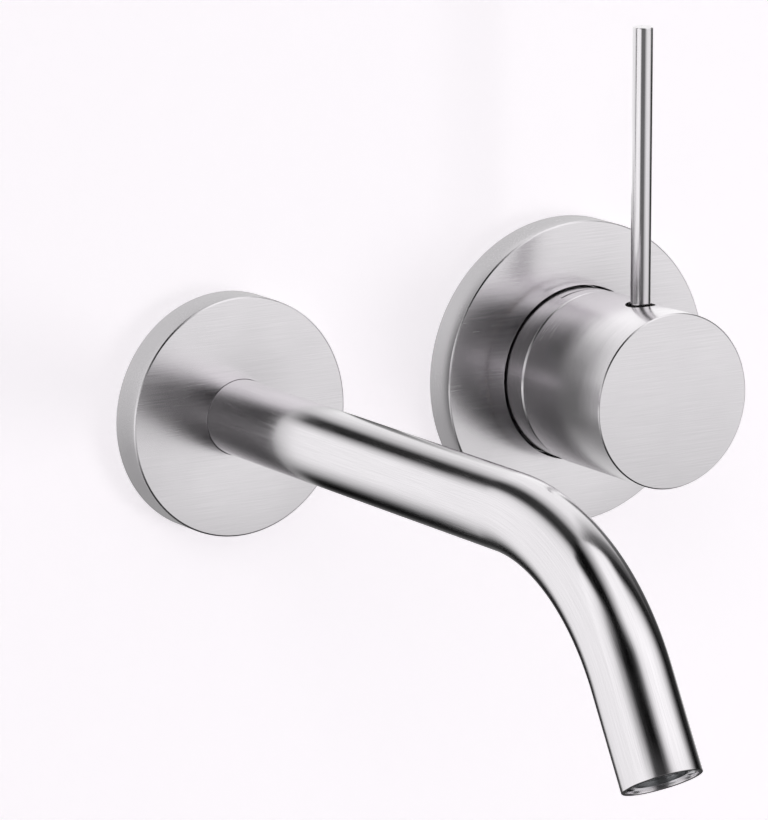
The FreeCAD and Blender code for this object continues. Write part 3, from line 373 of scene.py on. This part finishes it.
# Cover sleeve, with its short index mark at the top
SLEEVE_WALL = 1.2 * MM
SLEEVE_BEVEL = 0.8 * MM
SLEEVE_LIP = 1.6 * MM
SLEEVE_MOUTH = 18.25 * MM
MARK_BACK = 4.3 * MM
MARK_WIDTH = 0.7 * MM
MARK_DEPTH = 0.25 * MM
MARK_SIDE = 0.02 * MM     # how far each side of the mark slopes
MARK_HALF_ANGLE = math.radians(20)


def cover_sleeve():
    """A thin sleeve with a lip at its front, and a short groove across its top as the index mark."""
    front = sleeve_low.y
    mark = front + MARK_BACK
    inner = SLEEVE_RADIUS - SLEEVE_WALL
    outline = rounded([
        (SLEEVE_RADIUS, sleeve_high.y), (SLEEVE_RADIUS, front + SLEEVE_BEVEL),
        (SLEEVE_RADIUS - SLEEVE_BEVEL, front), (SLEEVE_MOUTH, front), (SLEEVE_MOUTH, front + SLEEVE_LIP),
        (inner, front + SLEEVE_LIP), (inner, sleeve_high.y)], THIN_ROUND)
    split = next(index for index, point in enumerate(outline) if point.y < mark)
    half = MARK_WIDTH / 2
    outline[split:split] = [Vector((SLEEVE_RADIUS, mark + offset))
                            for offset in (half + MARK_SIDE, half, -half, -half - MARK_SIDE)]

    def recess(radius, height, angle):
        near_top = min(angle, math.tau - angle) < MARK_HALF_ANGLE
        on_mark = abs(height - mark) < half + MARK_SIDE / 2 and radius > SLEEVE_RADIUS - MARK_DEPTH / 2
        return MARK_DEPTH if near_top and on_mark else 0.0

    sleeve = turned("cover_sleeve_plated", outline, NICKEL_ROUND, "fixed", "cover_sleeve", recess=recess)
    # The groove's floor gets the darker grey, painted shade that sets the mark off from the plate.
    sleeve.data.materials.append(GROOVE_PAINTED_SHADE)
    for face in sleeve.data.polygons:
        depth = SLEEVE_RADIUS - math.hypot(face.center.x, face.center.z)
        if abs(face.center.y - mark) < half and SLEEVE_WALL > depth > MARK_DEPTH / 2:
            face.material_index = 1


cover_sleeve()

# Handle cap and lever
CAP_WALL = 1.5 * MM
CAP_RIM = 0.7 * MM
CAP_TAPER = 1.0 * MM
CAP_FRONT_WALL = 5.0 * MM
CAP_EDGE = 0.3 * MM
CAP_ROUND = 0.1 * MM
CAP_FLAT = 0.05 * MM      # a face with its middle this near to the front belongs to the flat front
KEY_BACK = 23.0 * MM
LEVER_HOLE = 3.8 * MM
KEY_HOLE = 2.25 * MM
DRILL_PAST = 2.0 * MM
LEVER_SPIGOT = 2.0 * MM
LEVER_SEAT = 6.1 * MM
LEVER_ROUND = 0.35 * MM


def handle_cap():
    """A cup turned in one piece, with the lever's hole at the top and the key's hole at the bottom."""
    low, high = extent("handle_cap")
    radius = high.x
    inner = radius - CAP_WALL
    floor = low.y + CAP_FRONT_WALL
    outline = rounded([
        (radius, high.y), (radius, low.y + CAP_EDGE), (radius - CAP_EDGE, low.y), (0.0, low.y), (0.0, floor),
        (inner, floor), (inner, high.y - CAP_TAPER), (radius - CAP_RIM, high.y)], CAP_ROUND)
    cap = turned("handle_cap_plated", outline, NICKEL_ROUND, "handle", "handle_cap")
    lever_low, lever_high = extent("lever_rod")
    lever_y = (lever_low.y + lever_high.y) / 2
    drilled(cap, (0, lever_y, 0), (0, 0, 1), LEVER_HOLE, radius + DRILL_PAST)
    drilled(cap, (0, low.y + KEY_BACK, 0), (0, 0, -1), KEY_HOLE, radius + DRILL_PAST)
    cap.data.materials.append(NICKEL_LEVEL)
    for face in cap.data.polygons:
        face.material_index = 1 if face.center.y < low.y + CAP_FLAT else 0


handle_cap()


def lever_rod():
    """A plain rod on a thinner spigot."""
    low, high = extent("lever_rod")
    radius = (high.x - low.x) / 2
    seat = low.z + LEVER_SEAT
    outline = rounded([(0.0, low.z), (LEVER_SPIGOT, low.z), (LEVER_SPIGOT, seat), (radius, seat),
                       (radius, high.z), (0.0, high.z)], LEVER_ROUND)
    turned("lever_rod_plated", outline, NICKEL_ALONG, "handle", "lever_rod", y=(low.y + high.y) / 2,
           upright=True)


lever_rod()

# Spout tube
SPOUT_BEND = 57.5 * MM
SPOUT_ANGLE = math.radians(60)
SPOUT_STRAIGHT = 120.0 * MM
SPOUT_DROP = 24.0 * MM
SPOUT_WALL = 1.5 * MM
OUTLET_WALL = 1.0 * MM
OUTLET_DEPTH = 10.0 * MM
OUTLET_LIP = 0.2 * MM
SCREW_REACH = 14.0 * MM
SCREW_HOLE = 2.5 * MM
BEND_STEPS = 72
STRAIGHT_SHARES = (0.0, 0.2, 0.4, 0.6, 0.8)
DROP_SHARES = (0.3, 0.6, 1.0)


def spout_line():
    """Stations along the tube's centre line, each with its Y, its Z and how far the line has turned down."""
    rosette_low, _ = extent("spout_rosette")
    start = tube_high.y
    bend_start = rosette_low.y - SPOUT_STRAIGHT
    stations = [(start + share * (bend_start - start), 0.0, 0.0) for share in STRAIGHT_SHARES]
    for step in range(BEND_STEPS + 1):
        angle = SPOUT_ANGLE * step / BEND_STEPS
        stations.append((bend_start - SPOUT_BEND * math.sin(angle), -SPOUT_BEND * (1 - math.cos(angle)), angle))
    end_y, end_z, _ = stations[-1]
    for share in DROP_SHARES:
        stations.append((end_y - SPOUT_DROP * share * math.cos(SPOUT_ANGLE),
                         end_z - SPOUT_DROP * share * math.sin(SPOUT_ANGLE), SPOUT_ANGLE))
    return stations


def spout_tube():
    """The outer skin runs to the outlet, turns in over its rounded rim, and comes back up the bore."""
    stations = spout_line()
    outlet_y, outlet_z, _ = stations[-1]
    bore = TUBE_RADIUS - SPOUT_WALL
    mouth = TUBE_RADIUS - OUTLET_WALL

    def back(distance, radius):
        return (outlet_y + distance * math.cos(SPOUT_ANGLE), outlet_z + distance * math.sin(SPOUT_ANGLE),
                SPOUT_ANGLE, radius)

    swings = [math.pi / 2 * step / CORNER_STEPS for step in range(CORNER_STEPS + 1)]
    rings = [(y, z, angle, TUBE_RADIUS) for y, z, angle in stations[:-1]]
    rings += [back(OUTLET_LIP * (1 - math.sin(swing)), TUBE_RADIUS - OUTLET_LIP * (1 - math.cos(swing)))
              for swing in swings]
    rings += [back(OUTLET_LIP * (1 - math.cos(swing)), mouth + OUTLET_LIP * (1 - math.sin(swing)))
              for swing in swings]
    rings += [back(OUTLET_DEPTH, mouth), back(OUTLET_DEPTH, bore)]
    rings += [(y, z, angle, bore) for y, z, angle in reversed(stations[:-2])]
    vertices = []
    for y, z, angle, radius in rings:
        right = Vector((1, 0, 0)) * radius
        up = Vector((0, -math.sin(angle), math.cos(angle))) * radius
        for turn in range(ROUND):
            around = math.tau * turn / ROUND
            vertices.append(Vector((SPOUT_X, y, z)) + right * math.sin(around) + up * math.cos(around))
    faces = []
    uvs = []
    lengths = [0.0]
    for before, after in zip(rings, rings[1:] + rings[:1]):
        lengths.append(lengths[-1] + math.hypot(after[0] - before[0], after[1] - before[1]))
    for index in range(len(rings)):
        beyond = (index + 1) % len(rings)
        for turn in range(ROUND):
            following = (turn + 1) % ROUND
            faces.append([index * ROUND + turn, index * ROUND + following, beyond * ROUND + following,
                          beyond * ROUND + turn])
            near, far = TUBE_RADIUS * math.tau * turn / ROUND, TUBE_RADIUS * math.tau * (turn + 1) / ROUND
            uvs.append([(near, lengths[index]), (far, lengths[index]), (far, lengths[index + 1]),
                        (near, lengths[index + 1])])
    tube = mesh_piece("spout_tube_plated", vertices, faces, uvs, NICKEL_ALONG, "fixed", "spout_tube")
    drilled(tube, (SPOUT_X, -SCREW_REACH, -TUBE_RADIUS / 2), (0, 0, -1), SCREW_HOLE, TUBE_RADIUS)


spout_tube()

# The finish of each CAD node, also of those that a finer piece replaces
FINISHES = {
    RUBBER: ("mixer_rosette_o_ring", "spout_rosette_o_ring", "disc_seals", "cartridge_base_seals", "link_seals",
             "nipple_o_rings", "aerator_seal"),
    FOAM: ("mixer_rosette_gasket", "spout_rosette_gasket"),
    RAW_BRASS: ("mixer_body", "spout_elbow"),
    TURNED_BRASS: ("cartridge_nut", "link_pipe", "link_nut_body", "link_nut_elbow", "spout_nipple",
                   "handle_hub", "stem"),
    STAINLESS: ("inlet_filters", "spout_grub_screw", "stem_pin", "hub_screws", "handle_grub_screw"),
    ZINC: ("wall_bracket", "bracket_screws"),
    BLACK_PLASTIC: ("cartridge_housing", "cartridge_base", "aerator_insert"),
    ACETAL: ("temperature_limit_ring", "turret", "disc_carrier"),
    CERAMIC: ("fixed_ceramic_disc", "moving_ceramic_disc"),
    AERATOR_CHROME: ("aerator_housing",),
    WIRE_CLOTH: ("aerator_mesh",),
    NICKEL_LEVEL: ("handle_plug", "mixer_rosette", "spout_rosette"),
    NICKEL_ROUND: ("cover_sleeve", "handle_cap"),
    NICKEL_ALONG: ("spout_tube", "lever_rod"),
}
for finish, names in FINISHES.items():
    for name in names:
        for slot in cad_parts[name].material_slots:
            slot.material = finish

# Wall, floor and light
WALL_HALF = 1.6
ROOM_DEPTH = 3.2
FLOOR_DROP = 0.42
PALE = "FBF8FB"           # of the paint, the lit room and the even light
GLOW = 0.58               # the paint's own light, for the camera only
STUDIO_LEVEL = 1.12       # of all that the metal mirrors
EVEN_LEVEL = 0.3          # of the light that comes from all sides


def grey(level):
    return (level, level, level, 1.0)


# What the metal mirrors: white screens with dark gaps between them. Each stop is a bearing and a brightness.
# In the room, bearing 0 is straight out from the wall and 90 is to the right.
SCREENS_LOW = ((-180, 0.9), (-110, 1.0), (-57, 1.0), (-51, 0.4), (-46, 0.15), (-16, 0.14), (-8, 0.18), (5, 0.6),
               (20, 0.85), (45, 0.87), (58, 0.8), (66, 0.5), (76, 0.1), (84, 0.0), (112, 0.0), (125, 0.2),
               (145, 0.85), (180, 0.9))
SCREENS_HIGH = ((-180, 0.9), (-95, 1.1), (-78, 0.85), (-64, 0.22), (-51, 0.0), (-22, 0.0), (-12, 0.12),
                (3, 0.8), (18, 1.05), (45, 1.1), (62, 1.0), (76, 0.65), (85, 0.2), (92, 0.0), (108, 0.0),
                (125, 0.2), (145, 0.85), (180, 0.9))
# Each pair of heights is where one gives way to the next. Height is the upward part of a direction of length 1.
GROUND_TO_LOW = (-0.72, -0.2)
LOW_TO_HIGH = (0.05, 0.58)
HIGH_TO_TOP = (0.74, 0.86)
GROUND = grey(0.03)
# Overhead, a dark gap runs on from the one above the spout to the one in the room. Its middle drifts to the
# left between two angles from straight up, and it fades out on either side. The middle and the fade are given
# as slopes from upright.
TOP_ANGLES = (-0.8, 0.8)
TOP_MIDDLE = (0.014, -0.674)
TOP_FADE = (0.2, 0.62)
TOP_GAP = grey(0.0)
TOP_SCREEN = grey(1.05)
# Painted reflection, on the wall and seen only by the metal: bearing 0 is up from the piece's axis and 90 is to
# the right.
WALL_BY_HANDLE = ((-180, 0.66), (-162, 0.59), (-142, 0.34), (-122, 0.14), (-102, 0.1), (-82, 0.12), (-62, 0.2),
                  (-42, 0.44), (-22, 0.85), (0, 1.1), (70, 1.05), (138, 0.8), (180, 0.68))
WALL_BY_ROSETTE = ((-180, 0.34), (-125, 0.34), (-105, 0.39), (-85, 0.53), (-65, 0.61), (-25, 0.61), (40, 0.64),
                   (120, 0.5), (180, 0.34))
WALL_BY_SPOUT = ((-180, 0.0), (-170, 0.02), (-160, 0.12), (-148, 0.38), (-134, 0.65), (-118, 0.88),
                 (-100, 0.95), (-45, 0.95), (-33, 0.6), (-20, 0.02), (-2, 0.02), (12, 0.5), (30, 0.78),
                 (50, 0.88), (95, 0.95), (118, 0.5), (131, 0.25), (150, 0.1), (165, 0.02), (180, 0.0))
WALL_FAR = ((-180, 0.08), (-172, 0.1), (-162, 0.75), (-134, 0.9), (-100, 0.95), (-45, 0.95), (-32, 0.85),
            (-25, 0.6), (-17, 0.03), (0, 0.03), (10, 0.55), (24, 0.9), (50, 0.95), (112, 0.9), (124, 0.7),
            (134, 0.05), (176, 0.05), (180, 0.08))
# Distances from the spout's axis, and then from the handle's, at which one gives way to the next
SPOUT_ROSETTE_TO_SPOUT = (36 * MM, 42 * MM)
SPOUT_TO_FAR = (92 * MM, 112 * MM)
FAR_TO_HANDLE = (64 * MM, 59 * MM)
HANDLE_TO_ROSETTE = (46 * MM, 43 * MM)
# A painted dim patch on the wall, seen only in the metal, which the lever's right side mirrors: where it starts
# on the left, below and above
PAINTED_DIM_BESIDE_LEVER = grey(0.13)
LEVER_LEFT = (46 * MM, 64 * MM)
LEVER_BELOW = (-70 * MM, -35 * MM)
LEVER_ABOVE = (75 * MM, 95 * MM)
# Far to the right the painted reflection on the wall goes dark in two steps
DARK = grey(0.02)
RIGHT_DIM = (100 * MM, 290 * MM)
DIM_SHARE = 0.85
RIGHT_DARK = (300 * MM, 650 * MM)


def plane(name, corners, material):
    """A flat surface of the room, which is not part of the mixer."""
    mesh = bpy.data.meshes.new(name)
    mesh.from_pydata(corners, [], [(0, 1, 2, 3)])
    mesh.materials.append(material)
    item = bpy.data.objects.new(name, mesh)
    bpy.context.collection.objects.link(item)


def by_bearing(tree, across, along, stops):
    """Brightness by the bearing of a direction, from its part across and its part along bearing 0."""
    bearing = add(tree, "ShaderNodeMath", {0: across, 1: along}, operation="ARCTAN2")
    turn = add(tree, "ShaderNodeMapRange", {"Value": bearing, "From Min": -math.pi, "From Max": math.pi})
    scale = add(tree, "ShaderNodeValToRGB", {"Fac": turn})
    elements = scale.color_ramp.elements
    elements.remove(elements[-1])
    for index, (degrees, level) in enumerate(stops):
        place = (degrees + 180) / 360
        stop = elements[0] if index == 0 else elements.new(place)
        stop.position = place
        stop.color = grey(level)
    return scale


def painted_reflection_on_wall(tree):
    """A painted reflection on the wall: shades by place that only the metal sees, glowing in place of a true
    mirror image. It is darkest straight above and below the spout, left of the handle and far to the right."""
    spot = add(tree, "ShaderNodeTexCoord").outputs["Object"]
    parts = add(tree, "ShaderNodeSeparateXYZ", {"Vector": spot})
    across, up = parts.outputs["X"], parts.outputs["Z"]
    from_spout = add(tree, "ShaderNodeMath", {0: across, 1: SPOUT_X}, operation="SUBTRACT")
    spout_reach = add(tree, "ShaderNodeVectorMath", {0: spot, 1: (SPOUT_X, 0, 0)}, operation="DISTANCE")
    handle_reach = add(tree, "ShaderNodeVectorMath", {0: spot, 1: (0, 0, 0)}, operation="DISTANCE")
    above_foot = add(tree, "ShaderNodeMapRange", {
        "Value": up, "From Min": LEVER_BELOW[0], "From Max": LEVER_BELOW[1]})
    lever_height = add(tree, "ShaderNodeMapRange", {
        "Value": up, "From Min": LEVER_ABOVE[0], "From Max": LEVER_ABOVE[1],
        "To Min": above_foot, "To Max": 0.0})
    shade = by_bearing(tree, from_spout, up, WALL_BY_ROSETTE)
    layers = (
        (by_bearing(tree, from_spout, up, WALL_BY_SPOUT), spout_reach, SPOUT_ROSETTE_TO_SPOUT, 1.0),
        (by_bearing(tree, from_spout, up, WALL_FAR), spout_reach, SPOUT_TO_FAR, 1.0),
        (by_bearing(tree, across, up, WALL_BY_HANDLE), handle_reach, FAR_TO_HANDLE, 1.0),
        (by_bearing(tree, across, up, WALL_BY_ROSETTE), handle_reach, HANDLE_TO_ROSETTE, 1.0),
        (PAINTED_DIM_BESIDE_LEVER, across, LEVER_LEFT, lever_height),
        (DARK, across, RIGHT_DIM, DIM_SHARE),
        (DARK, across, RIGHT_DARK, 1.0))
    for layer, measure, (start, end), most in layers:
        shade = between(tree, shade, layer, measure, start, end, most)
    return shade


def pale_surface(name, painted_reflection=None):
    """Matt white paint: a pale field with no shine, which keeps a faint soft shadow. For the camera, part of
    its light is its own. A mirror sees the painted reflection given for it, glowing as the paint's own light,
    or else sees through to the studio. From behind it is clear, which shows the pieces that the wall conceals."""
    material, tree = new_material(name)
    path = add(tree, "ShaderNodeLightPath")
    strength = add(tree, "ShaderNodeMath", {0: path.outputs["Is Camera Ray"], 1: GLOW}, operation="MULTIPLY")
    seen = add(tree, "ShaderNodeAddShader", {
        0: add(tree, "ShaderNodeBsdfDiffuse", {"Color": colour(PALE)}),
        1: add(tree, "ShaderNodeEmission", {"Color": colour(PALE), "Strength": strength})})
    clear = add(tree, "ShaderNodeBsdfTransparent")
    shade = clear
    if painted_reflection:
        shade = add(tree, "ShaderNodeEmission", {"Color": painted_reflection(tree), "Strength": STUDIO_LEVEL})
    front = add(tree, "ShaderNodeMixShader", {0: path.outputs["Is Glossy Ray"], 1: seen, 2: shade})
    behind = add(tree, "ShaderNodeNewGeometry").outputs["Backfacing"]
    add(tree, "ShaderNodeOutputMaterial", {
        "Surface": add(tree, "ShaderNodeMixShader", {0: behind, 1: front, 2: clear})})
    return material


# The wall shows a painted reflection in the metal, a glow that only glossy rays see.
plane("finished_wall_surface", [(-WALL_HALF, 0, -FLOOR_DROP), (WALL_HALF, 0, -FLOOR_DROP),
                                (WALL_HALF, 0, WALL_HALF), (-WALL_HALF, 0, WALL_HALF)],
      pale_surface("wall_paint_pale_with_painted_reflection", painted_reflection_on_wall))
plane("floor_surface", [(-WALL_HALF, -ROOM_DEPTH, -FLOOR_DROP), (WALL_HALF, -ROOM_DEPTH, -FLOOR_DROP),
                        (WALL_HALF, WALL_HALF, -FLOOR_DROP), (-WALL_HALF, WALL_HALF, -FLOOR_DROP)],
      pale_surface("floor_paint_pale"))


def studio_world():
    """The camera sees a pale room, the metal mirrors the screens, and all else gets a weak even light."""
    world = bpy.data.worlds.new("studio")
    bpy.context.scene.world = world
    world.use_nodes = True
    tree = world.node_tree
    tree.nodes.clear()
    direction = add(tree, "ShaderNodeTexCoord").outputs["Generated"]
    parts = add(tree, "ShaderNodeSeparateXYZ", {"Vector": direction})
    across, up = parts.outputs["X"], parts.outputs["Z"]
    outwards = add(tree, "ShaderNodeMath", {0: parts.outputs["Y"], 1: -1.0}, operation="MULTIPLY")
    screens = between(tree, by_bearing(tree, across, outwards, SCREENS_LOW),
                      by_bearing(tree, across, outwards, SCREENS_HIGH), up, *LOW_TO_HIGH)
    screens = between(tree, GROUND, screens, up, *GROUND_TO_LOW)
    angle = add(tree, "ShaderNodeMath", {0: outwards, 1: up}, operation="ARCTAN2")
    middle = add(tree, "ShaderNodeMapRange", {
        "Value": angle, "From Min": TOP_ANGLES[0], "From Max": TOP_ANGLES[1],
        "To Min": TOP_MIDDLE[0], "To Max": TOP_MIDDLE[1]})
    slope = add(tree, "ShaderNodeMath", {0: across, 1: up}, operation="DIVIDE")
    offset = add(tree, "ShaderNodeMath", {0: slope, 1: middle}, operation="SUBTRACT")
    aside = add(tree, "ShaderNodeMath", {0: offset}, operation="ABSOLUTE")
    screens = between(tree, screens, between(tree, TOP_GAP, TOP_SCREEN, aside, *TOP_FADE), up, *HIGH_TO_TOP)
    path = add(tree, "ShaderNodeLightPath")
    plain = add(tree, "ShaderNodeMixShader", {
        0: path.outputs["Is Camera Ray"],
        1: add(tree, "ShaderNodeBackground", {"Color": colour(PALE), "Strength": EVEN_LEVEL}),
        2: add(tree, "ShaderNodeBackground", {"Color": colour(PALE), "Strength": 1.0})})
    add(tree, "ShaderNodeOutputWorld", {
        "Surface": add(tree, "ShaderNodeMixShader", {
            0: path.outputs["Is Glossy Ray"], 1: plain,
            2: add(tree, "ShaderNodeBackground", {"Color": screens, "Strength": STUDIO_LEVEL})})})


studio_world()

# Soft round lamps, each with its place, its width in metres and its power in watts. All face the handle's axis
# where it meets the wall, and no mirror shows them.
LAMPS = {
    "low_right_light": ((0.75, -1.1, -0.25), 0.5, 2.4),
    "upper_left_light": ((-0.9, -1.3, 1.1), 1.0, 2.0),
    "rear_light": ((0.4, 1.4, 0.9), 1.0, 8.0),
}
for name, (place, width, power) in LAMPS.items():
    lamp = bpy.data.lights.new(name, "AREA")
    lamp.shape = "DISK"
    lamp.size = width
    lamp.energy = power
    item = bpy.data.objects.new(name, lamp)
    item.location = place
    item.rotation_euler = (-Vector(place)).to_track_quat("-Z", "Y").to_euler()
    item.visible_glossy = False
    bpy.context.collection.objects.link(item)

# Camera, at the photograph's angle
BEARING = math.radians(32.28)
TILT = math.radians(12.29)
AIM = Vector((-52.65, 0.0, -5.38)) * MM
DISTANCE = 1506.35 * MM
LENS = 263.4              # millimetres
SENSOR = 36               # width in millimetres
CLIP_NEAR, CLIP_FAR = 0.1, 20
ahead = Vector((math.sin(BEARING) * math.cos(TILT), math.cos(BEARING) * math.cos(TILT), -math.sin(TILT)))
camera = bpy.data.objects.new("camera", bpy.data.cameras.new("camera"))
camera.data.sensor_width = SENSOR
camera.data.lens = LENS
camera.data.clip_start = CLIP_NEAR
camera.data.clip_end = CLIP_FAR
camera.location = AIM - ahead * DISTANCE
camera.rotation_euler = ahead.to_track_quat("-Z", "Y").to_euler()
bpy.context.collection.objects.link(camera)
bpy.context.scene.camera = camera
bpy.context.scene.view_settings.view_transform = "Standard"
